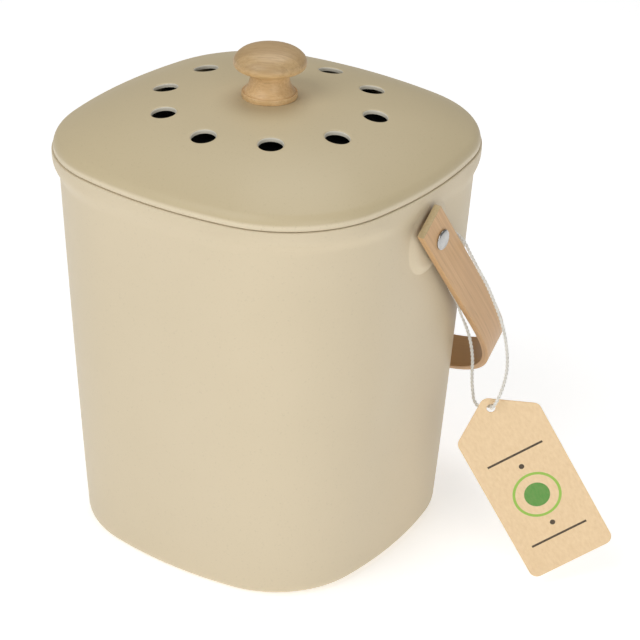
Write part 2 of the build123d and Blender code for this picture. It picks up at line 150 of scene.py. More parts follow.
# ------------------------------------------------------------------ node materials
class Nodes:
    def __init__(self, name):
        self.mat = bpy.data.materials.new(name)
        self.mat.use_nodes = True
        self.t = self.mat.node_tree
        self.t.nodes.clear()
        self.out = self.t.nodes.new("ShaderNodeOutputMaterial")
        self.b = self.t.nodes.new("ShaderNodeBsdfPrincipled")
        self.t.links.new(self.b.outputs[0], self.out.inputs[0])
        self.coord = self.t.nodes.new("ShaderNodeTexCoord").outputs["Object"]

    def link(self, a, b):
        self.t.links.new(a, b)

    def attribute(self, name):
        n = self.t.nodes.new("ShaderNodeAttribute")
        n.attribute_name = name
        return n.outputs["Vector"]

    def mapped(self, vec, scale=(1, 1, 1), rot=(0, 0, 0), loc=(0, 0, 0)):
        n = self.t.nodes.new("ShaderNodeMapping")
        n.inputs["Scale"].default_value, n.inputs["Rotation"].default_value, n.inputs["Location"].default_value = scale, rot, loc
        self.link(vec, n.inputs[0])
        return n.outputs[0]

    def noise(self, vec, scale, detail=3.0, rough=0.55, distort=0.0):
        n = self.t.nodes.new("ShaderNodeTexNoise")
        n.inputs["Scale"].default_value, n.inputs["Detail"].default_value = scale, detail
        n.inputs["Roughness"].default_value, n.inputs["Distortion"].default_value = rough, distort
        self.link(vec, n.inputs["Vector"])
        return n.outputs[0]

    def ramp(self, fac, stops):
        n = self.t.nodes.new("ShaderNodeValToRGB")
        e = n.color_ramp.elements
        while len(e) < len(stops):
            e.new(0.5)
        for el, (pos, col) in zip(e, stops):
            el.position, el.color = pos, (*col, 1.0)
        self.link(fac, n.inputs[0])
        return n.outputs[0]

    def mix(self, fac, a, b, mode="MIX"):
        n = self.t.nodes.new("ShaderNodeMix")
        n.data_type, n.blend_type = "RGBA", mode
        for val, i in ((fac, 0), (a, 6), (b, 7)):
            if isinstance(val, bpy.types.NodeSocket):
                self.link(val, n.inputs[i])
            elif i == 0:
                n.inputs[0].default_value = val
            else:
                n.inputs[i].default_value = (*val, 1.0)
        return n.outputs[2]

    def math(self, op, a, b=0.0, c=None, clamp=False):
        n = self.t.nodes.new("ShaderNodeMath")
        n.operation, n.use_clamp = op, clamp
        for i, val in enumerate((a, b, c)):
            if val is None:
                continue
            if isinstance(val, bpy.types.NodeSocket):
                self.link(val, n.inputs[i])
            else:
                n.inputs[i].default_value = val
        return n.outputs[0]

    def span(self, fac, lo, hi):
        n = self.t.nodes.new("ShaderNodeMapRange")
        n.inputs["To Min"].default_value, n.inputs["To Max"].default_value = lo, hi
        self.link(fac, n.inputs[0])
        return n.outputs[0]

    def bump(self, height, strength, distance, normal=None):
        n = self.t.nodes.new("ShaderNodeBump")
        n.inputs["Strength"].default_value, n.inputs["Distance"].default_value = strength, distance
        self.link(height, n.inputs["Height"])
        if normal is not None:
            self.link(normal, n.inputs["Normal"])
        return n.outputs[0]

    def done(self, color=None, rough=None, normal=None, **constants):
        if color is not None:
            self.link(color, self.b.inputs["Base Color"])
        if isinstance(rough, bpy.types.NodeSocket):
            self.link(rough, self.b.inputs["Roughness"])
        if normal is not None:
            self.link(normal, self.b.inputs["Normal"])
        for k, val in constants.items():
            self.b.inputs[k.replace("_", " ")].default_value = val
        return self.mat


def srgb(r, g, b):
    return tuple(c / 255 / 12.92 if c / 255 <= 0.04045 else ((c / 255 + 0.055) / 1.055) ** 2.4 for c in (r, g, b))


def plastic(name, low, high, rough=(0.42, 0.52), fleck=0.35, bump=0.10, lit_edge_band=None):
    """satin moulded plastic: faint cloudy tone, fine fibre flecks and a very slight mould texture; rim = (height, tone)
    is a paler band below that height, painted light standing in for the light on an upright edge"""
    m = Nodes(name)
    cloud = m.noise(m.coord, 9.0, 3.0, 0.5)
    col = m.ramp(cloud, [(0.30, low), (0.70, high)])
    if lit_edge_band:
        sep = m.t.nodes.new("ShaderNodeSeparateXYZ")
        m.link(m.coord, sep.inputs[0])
        n = m.t.nodes.new("ShaderNodeMapRange")
        n.interpolation_type = "SMOOTHSTEP"
        for i, val in enumerate((lit_edge_band[0] - 0.0006, lit_edge_band[0] + 0.0010, 1.0, 0.0)):
            n.inputs[i + 1].default_value = val
        m.link(sep.outputs[2], n.inputs[0])
        col = m.mix(n.outputs[0], col, lit_edge_band[1])
    fine = m.noise(m.coord, 900.0, 2.0, 0.6)
    dots = m.ramp(fine, [(0.60, (0, 0, 0)), (0.76, (fleck, fleck, fleck))])
    col = m.mix(dots, col, tuple(c * 0.80 for c in low))
    grain = m.noise(m.coord, 1500.0, 2.0, 0.5)
    waves = m.noise(m.coord, 30.0, 2.0, 0.5)
    n = m.bump(grain, bump, 0.00006)
    n = m.bump(waves, 0.12, 0.00025, n)
    return m.done(col, m.span(cloud, *rough), n)


def metal(name, color, rough, scale, stretch=(1, 1, 1), bump=0.06):
    """worked metal: fine tool marks in its roughness and surface, faint tarnish in its tone"""
    m = Nodes(name)
    marks = m.noise(m.mapped(m.coord, stretch), scale, 3.0, 0.6)
    tarnish = m.noise(m.coord, 260.0, 3.0, 0.6)
    col = m.ramp(tarnish, [(0.30, tuple(c * 0.78 for c in color)), (0.62, color)])
    return m.done(col, m.span(marks, *rough), m.bump(marks, bump, 0.00005), Metallic=1.0)


MAT_TUB = plastic("tub_beige", srgb(209, 194, 164), srgb(214, 199, 170))
# the lid's beige is the tub's beige painted darker: painted shade for the weaker light on its top; below the edge
# height its rim band takes the tub's paler tone back as painted light
MAT_LID = plastic("lid_beige", srgb(197, 181, 145), srgb(202, 186, 151), lit_edge_band=(0.1988 + 0.0026, srgb(219, 205, 176)))
# vent_wall_painted_light: a paler copy of the lid's plastic, painted light on the vents' walls
MAT_VENT_PAINTED_LIGHT = plastic("vent_wall_painted_light", srgb(219, 213, 196), srgb(225, 219, 203), (0.45, 0.55), 0.1)
MAT_COVER = plastic("cover_beige", srgb(202, 188, 158), srgb(208, 195, 167), (0.5, 0.6))
MAT_NYLON = plastic("nylon", srgb(214, 209, 196), srgb(224, 220, 208), (0.4, 0.5), 0.1)
MAT_STEEL = metal("steel", (0.60, 0.60, 0.61), (0.24, 0.44), 1400.0)
MAT_BRASS = metal("brass", (0.72, 0.52, 0.22), (0.22, 0.40), 1400.0)
MAT_CHROME = metal("chrome", (0.52, 0.515, 0.50), (0.10, 0.20), 500.0, bump=0.04)


def silicone():
    m = Nodes("silicone")
    n = m.noise(m.coord, 300.0, 3.0, 0.6)
    return m.done(m.ramp(n, [(0.3, srgb(214, 210, 198)), (0.7, srgb(228, 225, 214))]), m.span(n, 0.5, 0.7),
                  m.bump(n, 0.1, 0.0001), Subsurface_Weight=0.15)


def carbon():
    """black felted pad: crossed fibres with open pores"""
    m = Nodes("carbon_pad")
    a = m.noise(m.mapped(m.coord, (1, 6, 6)), 420.0, 4.0, 0.7, 0.6)
    b = m.noise(m.mapped(m.coord, (6, 1, 6), rot=(0, 0, 0.6)), 420.0, 4.0, 0.7, 0.6)
    both = m.math("MAXIMUM", a, b)
    return m.done(m.ramp(both, [(0.42, (0.004, 0.004, 0.004)), (0.72, (0.030, 0.029, 0.028))]),
                  m.span(both, 0.85, 1.0), m.bump(both, 0.9, 0.0006))


def wood(name, dark, mid, light, coord, along=18.0, across=620.0, rough=(0.38, 0.56), soft=0.5, inner_face_shade=None, lamella=None,
         lit_foot_shaded_head=None):
    """lacquered bamboo: the first axis of coord runs along the fibres; ply = (depth, tone) is painted shade, a darker
    tone on the inner face up to that depth, lamella = (width, amount) the glued strips of a solid blank, foot = (z, z,
    below, above) paints light and shade by height: the tone times below under that height as a painted highlight, times
    above over it as painted shade"""
    m = Nodes(name)
    vec = m.attribute("grain") if coord == "grain" else m.coord
    fibre = m.noise(m.mapped(vec, (along, across, across)), 1.0, 4.0, 0.62)
    band = m.noise(m.mapped(vec, (along * 0.35, across * 0.22, across * 0.22)), 1.0, 3.0, 0.5)
    pores = m.noise(m.mapped(vec, (along * 4.5, across * 2.6, across * 2.6)), 1.0, 2.0, 0.5)
    col = m.ramp(fibre, [(0.28, dark), (0.50, mid), (0.74, light)])
    col = m.mix(m.span(band, 0.0, 0.55), col, mid)
    streak = m.ramp(pores, [(0.60, (0, 0, 0)), (0.72, (soft, soft, soft))])
    col = m.mix(streak, col, tuple(c * 0.55 for c in dark))
    if inner_face_shade or lamella:
        sep = m.t.nodes.new("ShaderNodeSeparateXYZ")
        m.link(vec, sep.inputs[0])
    if lamella:
        cell = m.math("FLOOR", m.math("DIVIDE", m.math("ADD", sep.outputs[1], 0.0021), lamella[0]))
        level = m.math("FLOOR", m.math("DIVIDE", m.math("ADD", sep.outputs[2], 0.0009), lamella[0] * 1.6))
        both = m.t.nodes.new("ShaderNodeCombineXYZ")
        m.link(cell, both.inputs[0])
        m.link(level, both.inputs[1])
        w = m.t.nodes.new("ShaderNodeTexWhiteNoise")
        w.noise_dimensions = "2D"
        m.link(both.outputs[0], w.inputs[0])
        col = m.mix(m.span(w.outputs[0], 0.0, lamella[1]), col, tuple(c * 0.80 for c in dark))
    # ply: painted shade, the strip's inner face darkened up to the given depth
    if inner_face_shade:
        n = m.t.nodes.new("ShaderNodeMapRange")
        for i, val in enumerate((inner_face_shade[0] - 0.00012, inner_face_shade[0] + 0.00012, 1.0, 0.0)):
            n.inputs[i + 1].default_value = val
        m.link(sep.outputs[2], n.inputs[0])
        col = m.mix(m.math("MULTIPLY", n.outputs[0], 0.75), col, inner_face_shade[1])
    # foot: painted light and shade by height, lighter below the first height and darker above the second
    if lit_foot_shaded_head:
        at = m.t.nodes.new("ShaderNodeSeparateXYZ")
        m.link(m.coord, at.inputs[0])
        n = m.t.nodes.new("ShaderNodeMapRange")
        for i, val in enumerate((lit_foot_shaded_head[0], lit_foot_shaded_head[1], 0.0, 1.0)):
            n.inputs[i + 1].default_value = val
        m.link(at.outputs[2], n.inputs[0])
        col = m.mix(n.outputs[0], m.mix(1.0, col, (lit_foot_shaded_head[2],) * 3, "MULTIPLY"), m.mix(1.0, col, (lit_foot_shaded_head[3],) * 3, "MULTIPLY"))
    n = m.bump(fibre, 0.22, 0.00014)
    n = m.bump(pores, 0.25, 0.00010, n)
    return m.done(col, m.span(fibre, *rough), n, Coat_Weight=0.12, Coat_Roughness=0.35)


# the handle's ply tone darkens the strip's inner face as painted shade
MAT_HANDLE = wood("handle_wood", srgb(186, 145, 98), srgb(204, 162, 113), srgb(218, 181, 134), "grain", 11.0, 820.0, soft=0.34,
                  inner_face_shade=(0.00042, srgb(160, 122, 80)))
MAT_HANDLE_END = wood("handle_end_grain", srgb(170, 148, 106), srgb(184, 163, 122), srgb(194, 175, 136), "grain", 900.0, 900.0, soft=0.3)
# the knob's foot setting paints its neck and foot lighter as a painted highlight and its head darker as painted shade
MAT_KNOB = wood("knob_wood", srgb(184, 149, 102), srgb(203, 170, 122), srgb(217, 188, 143), "grain", 46.0, 950.0, soft=0.4,
                lamella=(0.0058, 0.34), lit_foot_shaded_head=(0.2370, 0.2402, 1.30, 0.90))


def string_material():
    m = Nodes("cotton_string")
    fuzz = m.noise(m.coord, 2600.0, 3.0, 0.7)
    tone = m.noise(m.coord, 160.0, 2.0, 0.5)
    col = m.mix(m.span(fuzz, 0.0, 0.5), m.ramp(tone, [(0.3, srgb(222, 220, 212)), (0.7, srgb(240, 238, 231))]), srgb(200, 196, 186))
    return m.done(col, m.span(fuzz, 0.8, 1.0), m.bump(fuzz, 0.7, 0.00015), Sheen_Weight=0.35)


MAT_STRING = string_material()


def card_material():
    """kraft board with a plain geometric print: two rules, a ring and three dots, on the side that faces out"""
    m = Nodes("kraft_card")
    vec = m.attribute("card")
    mott = m.noise(m.mapped(vec, (1.7, 0.8, 1), rot=(0, 0, 0.5)), 430.0, 4.0, 0.6)
    fine = m.noise(m.mapped(vec, (1, 2.6, 1)), 1500.0, 3.0, 0.7)
    col = m.ramp(mott, [(0.30, srgb(229, 199, 157)), (0.70, srgb(238, 210, 170))])
    specks = m.ramp(fine, [(0.64, (0, 0, 0)), (0.76, (0.45, 0.45, 0.45))])
    col = m.mix(specks, col, srgb(196, 160, 114))
    sep = m.t.nodes.new("ShaderNodeSeparateXYZ")
    m.link(vec, sep.inputs[0])
    x, y, z = sep.outputs
    face = m.math("GREATER_THAN", z, 0.00030)

    def rect(x0, x1, y0, y1):
        a = m.math("MULTIPLY", m.math("GREATER_THAN", x, x0), m.math("LESS_THAN", x, x1))
        b = m.math("MULTIPLY", m.math("GREATER_THAN", y, y0), m.math("LESS_THAN", y, y1))
        return m.math("MULTIPLY", a, b)

    def radius(px, py):
        dx, dy = m.math("SUBTRACT", x, px), m.math("SUBTRACT", y, py)
        return m.math("SQRT", m.math("ADD", m.math("MULTIPLY", dx, dx), m.math("MULTIPLY", dy, dy)))

    ink = m.math("ADD", rect(-0.0154, 0.0136, -0.0271, -0.0260), rect(-0.0154, 0.0136, -0.0741, -0.0730))
    green = m.math("LESS_THAN", radius(-0.0009, -0.0500), 0.0062)
    ring = m.math("MULTIPLY", m.math("GREATER_THAN", radius(-0.0009, -0.0500), 0.0104), m.math("LESS_THAN", radius(-0.0009, -0.0500), 0.0117))
    dots = m.math("ADD", m.math("LESS_THAN", radius(-0.0009, -0.0665), 0.0013), m.math("LESS_THAN", radius(-0.0009, -0.0335), 0.0013))
    wear = m.span(mott, 0.80, 1.0)
    ink = m.math("MULTIPLY", m.math("MULTIPLY", m.math("ADD", ink, dots, clamp=True), face), wear)
    green = m.math("MULTIPLY", m.math("MULTIPLY", green, face), wear)
    ring = m.math("MULTIPLY", m.math("MULTIPLY", ring, face), wear)
    col = m.mix(ink, col, srgb(28, 24, 24))
    col = m.mix(green, col, srgb(70, 146, 58))
    col = m.mix(ring, col, srgb(142, 192, 72))
    return m.done(col, m.span(fine, 0.78, 0.95), m.bump(fine, 0.25, 0.00008))


MAT_CARD = card_material()

# ------------------------------------------------------------------ string: the route's points, in mm
ROUTE = [(120.617, 11.199, 91.424), (118.49, 11.55, 90.19), (114.82, 12.60, 88.26), (111.39, 14.02, 89.74), (110.15, 14.92, 92.87),
         (108.80, 15.71, 97.90), (107.00, 18.45, 102.85), (104.80, 22.21, 107.22), (101.40, 25.13, 113.76), (97.20, 27.67, 119.13),
         (92.95, 28.79, 124.09), (92.85, 24.90, 132.00), (92.85, 19.00, 139.00), (92.85, 12.00, 149.00), (92.85, 4.60, 161.00),
         (92.85, -0.90, 168.30), (92.85, -4.56, 174.43), (92.85, -4.28, 177.57), (92.85, -2.08, 179.82), (92.85, 1.05, 180.19),
         (92.85, 6.60, 177.80), (92.85, 15.07, 174.08), (96.40, 21.00, 167.36), (100.70, 20.30, 161.70), (105.25, 20.35, 155.37),
         (110.25, 21.14, 148.17), (115.25, 20.55, 140.41), (119.65, 21.37, 130.69), (123.40, 20.10, 121.03), (126.40, 17.32, 111.90),
         (127.80, 12.17, 104.19), (127.70, 7.19, 98.70), (126.00, 6.38, 94.83), (124.40, 7.63, 92.84), (123.034, 9.582, 92.503)]

curve = bpy.data.curves.new("tag_string_line", "CURVE")
curve.dimensions = "3D"
spline = curve.splines.new("NURBS")
spline.points.add(len(ROUTE) - 1)
for p, q in zip(spline.points, ROUTE):
    p.co = (q[0] * MM, q[1] * MM, q[2] * MM, 1.0)
spline.order_u = 3
spline.use_endpoint_u = True
spline.resolution_u = 24
line = bpy.data.objects.new("tag_string_line", curve)
bpy.context.collection.objects.link(line)
bpy.context.view_layer.update()
flat = bpy.data.meshes.new_from_object(line.evaluated_get(bpy.context.evaluated_depsgraph_get()))
walk = [v.co.copy() for v in flat.vertices]
if (walk[0] - Vector(ROUTE[0]) * MM).length > (walk[-1] - Vector(ROUTE[0]) * MM).length:
    walk.reverse()
bpy.data.objects.remove(line)
bpy.data.curves.remove(curve)
bpy.data.meshes.remove(flat)
total = sum((b - a).length for a, b in zip(walk, walk[1:]))


def strands(name, path, pitch, strand_r, offset, count, sides=10, swell=None):
    """plies twisted round a path given in metres; swell gives their size at a point"""
    tangents = []
    for i in range(len(path)):
        tangents.append((path[min(i + 1, len(path) - 1)] - path[max(i - 1, 0)]).normalized())
    u = tangents[0].orthogonal().normalized()
    b, dist = Build(), 0.0
    rings = [[] for _ in range(count)]
    for i, p in enumerate(path):
        if i:
            dist += (p - path[i - 1]).length
            u = (u - tangents[i] * u.dot(tangents[i])).normalized()
        v = tangents[i].cross(u)
        for k in range(count):
            a = tau * (dist / pitch + k / count)
            g = swell(p) if swell else 1.0
            c = p + (u * cos(a) + v * sin(a)) * offset * g
            rings[k].append([tuple((c + (u * cos(tau * j / sides) + v * sin(tau * j / sides)) * strand_r * g) / MM) for j in range(sides)])
    for k in range(count):
        b.ring_stack(rings[k], cap=(True, True))
    return new_object(name, b.v, b.f, 60)


def free(p):
    """1 between the arm and the wall, up to 1.3 where the string hangs free"""
    return 1.0 + 0.30 * min(1.0, max(0.0, (p.x / MM - 94.0) / 3.0))


string = strands("tag_string_ply", walk, 0.0038, 0.00040, 0.00026, 2, swell=free)
put(string, "handle", MAT_STRING, "cotton_string", "tag_string")

# overhand knot behind the card
KNOT = Vector((122.071, 10.959, 92.267))
knot_path = []
for i in range(97):
    t = tau * i / 96
    q = Vector((sin(t) + 2 * sin(2 * t), cos(t) - 2 * cos(2 * t), -1.5 * sin(3 * t))) * 0.40
    knot_path.append((KNOT + q) * MM)
knot = strands("tag_string_knot", knot_path, 0.0038, 0.00037, 0.00026, 2)
put(knot, "handle", MAT_STRING, "cotton_string", "string_knot")

# ------------------------------------------------------------------ card
CARD_N = Vector((0.5675, -0.8115, 0.1392)).normalized()
HOLE = Vector((124.0, 8.2, 92.74))
card_x = Vector((0, 0, 1)).cross(CARD_N).normalized()
card_y = CARD_N.cross(card_x)
tilt = radians(30.0)
tag_x = card_x * cos(tilt) + card_y * sin(tilt)
tag_y = CARD_N.cross(tag_x)


def rounded(poly, r, n):
    """closed polygon with rounded corners"""
    out = []
    for i, p in enumerate(poly):
        p, a, b = Vector(p), Vector(poly[i - 1]), Vector(poly[(i + 1) % len(poly)])
        da, db = (a - p).normalized(), (b - p).normalized()
        half = da.angle(db) / 2
        t = min(r / tan(half), (a - p).length * 0.48, (b - p).length * 0.48)
        rr = t * tan(half)
        c = p + (da + db).normalized() * (rr / sin(half))
        s, e = (p + da * t) - c, (p + db * t) - c
        sweep = s.angle_signed(e)
        for k in range(n + 1):
            w = Vector((s.x, s.y))
            w.rotate(Matrix.Rotation(-sweep * k / n, 2))
            out.append((c.x + w.x, c.y + w.y))
    return out


card_poly = rounded([(-0.9, 6.4), (20.8, -8.7), (20.8, -89.4), (-22.6, -89.4), (-22.6, -8.7)], 4.2, 10)


def card_at(x, y, z):
    return tuple(HOLE + tag_x * x + tag_y * y + CARD_N * z)


def inset_poly(poly, d):
    """outline moved inwards by d along its corner normals"""
    out = []
    n = len(poly)
    area = sum(poly[i][0] * poly[(i + 1) % n][1] - poly[(i + 1) % n][0] * poly[i][1] for i in range(n))
    turn = 1 if area > 0 else -1
    for i in range(n):
        a, b = Vector(poly[i - 1]), Vector(poly[(i + 1) % n])
        t = (b - a).normalized()
        out.append((poly[i][0] - t.y * d * turn, poly[i][1] + t.x * d * turn))
    return out


b = Build()
hole_ring = [(2.1 * cos(tau * j / 40), 2.1 * sin(tau * j / 40)) for j in range(40)]
hole_soft = [(2.3 * cos(tau * j / 40), 2.3 * sin(tau * j / 40)) for j in range(40)]
flat_poly = inset_poly(card_poly, 0.18)
for z_face, z_edge in ((0.4, 0.24), (-0.4, -0.24)):
    pts, tri = patch(flat_poly, [], [hole_soft], [(0, 0, 2.3)])
    b.tris([card_at(x, y, z_face) for x, y in pts], tri)
    b.ring_stack([[card_at(x, y, z_face) for x, y in flat_poly], [card_at(x, y, z_edge) for x, y in card_poly]])
    b.ring_stack([[card_at(x, y, z_face) for x, y in hole_soft], [card_at(x, y, z_edge) for x, y in hole_ring]])
b.ring_stack([[card_at(x, y, z) for x, y in card_poly] for z in (0.24, -0.24)])
b.ring_stack([[card_at(x, y, z) for x, y in hole_ring] for z in (0.24, -0.24)])
card = new_object("tag_board", b.v, b.f, 20)
attr = card.data.attributes.new("card", "FLOAT_VECTOR", "POINT")
for v, a in zip(card.data.vertices, attr.data):
    d = v.co / MM - HOLE
    a.vector = (d.dot(tag_x) * MM, d.dot(tag_y) * MM, d.dot(CARD_N) * MM)
put(card, "tag", MAT_CARD, "kraft_card", "tag_card")

# ------------------------------------------------------------------ outlines of four side arcs and four corner arcs, in mm
RIM, TOP, BASE = (92.0, 58.7, 224.2), (90.8, 69.0, 412.0), (79.6, 51.0, 198.7)
RIM_Z, FLARE_H, BASE_R, WALL, FLOOR = 198.8, 10.5, 5.6, 2.6, 3.2
N_SIDE, N_CORNER = 32, 26
COLS = 4 * (N_SIDE + N_CORNER)


def arc_centre(a, rc, rs):
    k, d = rs - a, rs - rc
    return k, (-2 * k + sqrt(4 * k * k - 8 * (k * k - d * d))) / 4


def outline(a, rc, rs):
    """points of the rounded square, evenly spaced on each arc, starting at the lower end of the +X side"""
    k, c = arc_centre(a, rc, rs)
    th = atan2(c, c + k)
    quarter = [(-k + rs * cos(-th + 2 * th * i / N_SIDE), rs * sin(-th + 2 * th * i / N_SIDE)) for i in range(N_SIDE)]
    quarter += [(c + rc * cos(th + (pi / 2 - 2 * th) * i / N_CORNER), c + rc * sin(th + (pi / 2 - 2 * th) * i / N_CORNER))
                for i in range(N_CORNER)]
    out = []
    for q in range(4):
        for x, y in quarter:
            for _ in range(q):
                x, y = -y, x
            out.append((x, y))
    return out


def wall_at(z, inset=0.0):
    t = z / RIM_Z
    s = [BASE[i] + (TOP[i] - BASE[i]) * t for i in range(3)]
    h, soft = z - (RIM_Z - FLARE_H), 2.6
    if h > -soft:
        h = h if h > soft else (h + soft) ** 2 / (4 * soft)
        f = 1 - (1 - h / FLARE_H) ** 2
        s = [s[i] + (RIM[i] - s[i]) * f for i in range(3)]
    return [v - inset for v in s]


def side_x(y, z, inset=0.0):
    """distance of the wall's +X side from the middle plane, at y and z"""
    a, rc, rs = wall_at(z, inset)
    return a - rs + sqrt(rs * rs - y * y)


def loop_at(z, inset=0.0):
    return [(x, y, z) for x, y in outline(*wall_at(z, inset))]


# ------------------------------------------------------------------ tub
PIVOT_Z = 175.6


def boss_x(r):
    if r <= 14.5:
        return 91.2
    if r <= 19.0:
        return 91.2 - 0.11 * (r - 14.5) ** 2
    return 88.97 - 0.99 * (r - 19.0) - 0.6 * (r - 19.0) ** 2


def outer_x(y, z):
    return smax(side_x(y, z), boss_x(hypot(y * 1.26, (z - PIVOT_Z) * 1.04)), 2.4)


def inner_x(y, z):
    r = hypot(y, z - PIVOT_Z)
    pad = 85.6 if r <= 8.4 else 85.6 + 3.0 * (r - 8.4)
    return -smax(-side_x(y, z, WALL), -pad, 0.3)


b = Build()
base_rows = []
for s in (0.02, 0.25, 0.5, 0.75, 0.94):
    base_rows.append([(x * s, y * s, 0.0) for x, y in outline(*wall_at(0.0, BASE_R))])
for i in range(10):
    a = radians(90 * i / 9)
    z = BASE_R * (1 - cos(a))
    base_rows.append(loop_at(z, BASE_R * (1 - sin(a))))
low_rows = [BASE_R + (150.0 - BASE_R) * i / 20 for i in range(21)]
patch_zs = [150.0 + 35.0 * i / 11 for i in range(12)] + [185.7, 186.4, 187.1, 187.8, 188.5, 189.2, 189.9, 190.6, 191.3, 192.4, 193.5, 194.6, 195.7, 196.8]
top_rows = [patch_zs[-1]] + [RIM_Z - FLARE_H * u for u in (0.12,)]

b.ring_stack(base_rows, cap=(True, False))
b.ring_stack([base_rows[-1]] + [loop_at(z) for z in low_rows[1:]])

rim_rows = [loop_at(z) for z in top_rows]
for i in range(6):
    a = radians(90 * i / 5)
    rim_rows.append([(x, y, RIM_Z - 0.45 + 0.45 * sin(a)) for x, y in outline(*wall_at(RIM_Z - 0.25, 0.45 * (1 - cos(a))))])
for i in range(4):
    a = radians(90 * i / 3)
    rim_rows.append([(x, y, RIM_Z - 0.5 * (1 - cos(a))) for x, y in outline(*wall_at(RIM_Z - 0.25, WALL - 0.5 + 0.5 * sin(a)))])
rim_rows += [loop_at(z, WALL) for z in (RIM_Z - FLARE_H * 0.12, patch_zs[-1])]
b.ring_stack(rim_rows)


def side_columns(z, inset):
    """columns of the +X side that lie within 27 mm of the pivot plane"""
    return [i for i, (x, y) in enumerate(outline(*wall_at(z, inset))) if x > 60 and abs(y) < 27 and i < N_SIDE]


COL0, COL1 = side_columns(150.0, 0.0)[0], side_columns(150.0, 0.0)[-1]
HALF = COLS // 2


def wall_band(inset, rings, bore, xfun, keep):
    """wall between z 150 and the top of the flare, with a finely shaped patch round each pivot"""
    grid = [loop_at(z, inset) for z in patch_zs]
    base = len(b.v)
    for g in grid:
        b.v.extend(g)
    for i in range(len(grid) - 1):
        for j in range(COLS):
            if COL0 <= j % HALF < COL1 and j % HALF >= COL0:
                continue
            p, q = base + i * COLS + j, base + i * COLS + (j + 1) % COLS
            b.f.append((p, q, q + COLS, p + COLS))
    edge = [(g[COL0][1], g[COL0][2]) for g in grid[::-1]]
    edge += [(grid[0][j][1], grid[0][j][2]) for j in range(COL0 + 1, COL1 + 1)]
    edge += [(g[COL1][1], g[COL1][2]) for g in grid[1:]]
    edge += [(grid[-1][j][1], grid[-1][j][2]) for j in range(COL1 - 1, COL0, -1)]
    loose = [(g[j][1], g[j][2]) for g in grid[1:-1] for j in range(COL0 + 1, COL1)
             if hypot(g[j][1], g[j][2] - PIVOT_Z) > keep]
    top = patch_zs[-1]
    loops = [[(r * cos(tau * j / 72), PIVOT_Z + r * sin(tau * j / 72)) for j in range(72)] for r in rings]
    # rings that would cross the patch's upper edge give only their lower points
    full = [l for l in loops if max(p[1] for p in l) < top - 0.3]
    part = [p for l in loops if l not in full for p in l if p[1] < top - 0.3]
    pts, tri = patch(edge, loose + part, full, [(0.0, PIVOT_Z, bore)])
    on_edge = {(round(y, 4), round(z, 4)) for y, z in edge}
    for side in (1, -1):
        made = []
        for y, z in pts:
            x = side_x(y, z, inset) if (round(y, 4), round(z, 4)) in on_edge else xfun(y, z)
            made.append((x * side, y * side, z))
        b.tris(made, tri)


OUT_RINGS = [2.55, 4.5, 7.5, 10.5, 13.0, 14.5, 15.2, 15.9, 16.5, 17.0, 17.4, 17.8, 18.2, 18.5, 18.8, 19.0, 19.2, 19.45, 19.7, 20.0, 20.4, 21.0]
IN_RINGS = [2.55, 4.5, 7.0, 8.2, 8.4, 8.55, 8.7, 8.85, 9.05, 9.4, 10.2]
wall_band(0.0, OUT_RINGS, 2.55, outer_x, 21.6)
wall_band(WALL, IN_RINGS, 2.55, inner_x, 10.9)
for side in (1, -1):
    b.ring_stack([[(x * side, side * 2.55 * cos(tau * j / 72), PIVOT_Z + 2.55 * sin(tau * j / 72)) for j in range(72)]
                  for x in (91.2, 85.6)])

inner_rows = [loop_at(150.0 + (FLOOR + 4.0 - 150.0) * i / 18, WALL) for i in range(19)]
for i in range(1, 7):
    a = radians(90 - 90 * i / 6)
    z = FLOOR + 4.0 * (1 - cos(a))
    inner_rows.append(loop_at(z, WALL + 4.0 * (1 - sin(a))))
last = inner_rows[-1]
inner_rows += [[(x * s, y * s, FLOOR) for x, y, _ in last] for s in (0.9, 0.6, 0.3, 0.02)]
b.ring_stack(inner_rows, cap=(False, True))
tub = new_object("tub", b.v, b.f, 38)
put(tub, "bin", MAT_TUB, "tub_beige", "bin_body")

# ------------------------------------------------------------------ lid
LID = (91.3, 58.3, 222.4)
LID_T, EDGE_S, EDGE_R = 2.1, 0.965, 6.4
LID_LINE = outline(*LID)
LID_ANG = [atan2(y, x) for x, y in LID_LINE]
K_LID, C_LID = arc_centre(*LID)


def share(x, y):
    """fraction of the lid's outline at which the point lies"""
    x, y = abs(x), abs(y)
    if y > x:
        x, y = y, x
    d = hypot(x, y)
    if d < 1e-9:
        return 0.0
    ux, uy = x / d, y / d
    th = atan2(C_LID, C_LID + K_LID)
    tx, ty = -K_LID + LID[2] * cos(th), LID[2] * sin(th)
    if atan2(uy, ux) <= atan2(ty, tx):
        q = ux * -K_LID
        r = q + sqrt(q * q - K_LID ** 2 + LID[2] ** 2)
    else:
        q = (ux + uy) * C_LID
        r = q + sqrt(q * q - 2 * C_LID ** 2 + LID[1] ** 2)
    return d / r


def dome(s):
    return 22.8 - 5.86 * s * s - 11.65 * s ** 4


def lid_top(x, y):
    return RIM_Z + dome(max(0.155, share(x, y)))


def lid_under(x, y):
    s = max(0.155, share(x, y))
    return RIM_Z + dome(s) - LID_T * (1.0 + 0.35 * max(0.0, s - 0.75))


def lid_loop(s):
    return [(x * s, y * s) for x, y in LID_LINE]


VENTS = [(51.3 * cos(radians(90 + 36 * i)), 51.3 * sin(radians(90 + 36 * i))) for i in range(10)]


def circle2(cx_, cy_, r, n=48):
    return [(cx_ + r * cos(tau * j / n), cy_ + r * sin(tau * j / n)) for j in range(n)]


def lid_points(s_list):
    out = []
    for s in s_list:
        step = 4 if s < 0.35 else 2 if s < 0.7 else 1
        for j in range(0, COLS, step):
            x, y = LID_LINE[j][0] * s, LID_LINE[j][1] * s
            if all(hypot(x - vx, y - vy) > 9.3 for vx, vy in VENTS):
                out.append((x, y))
    return out


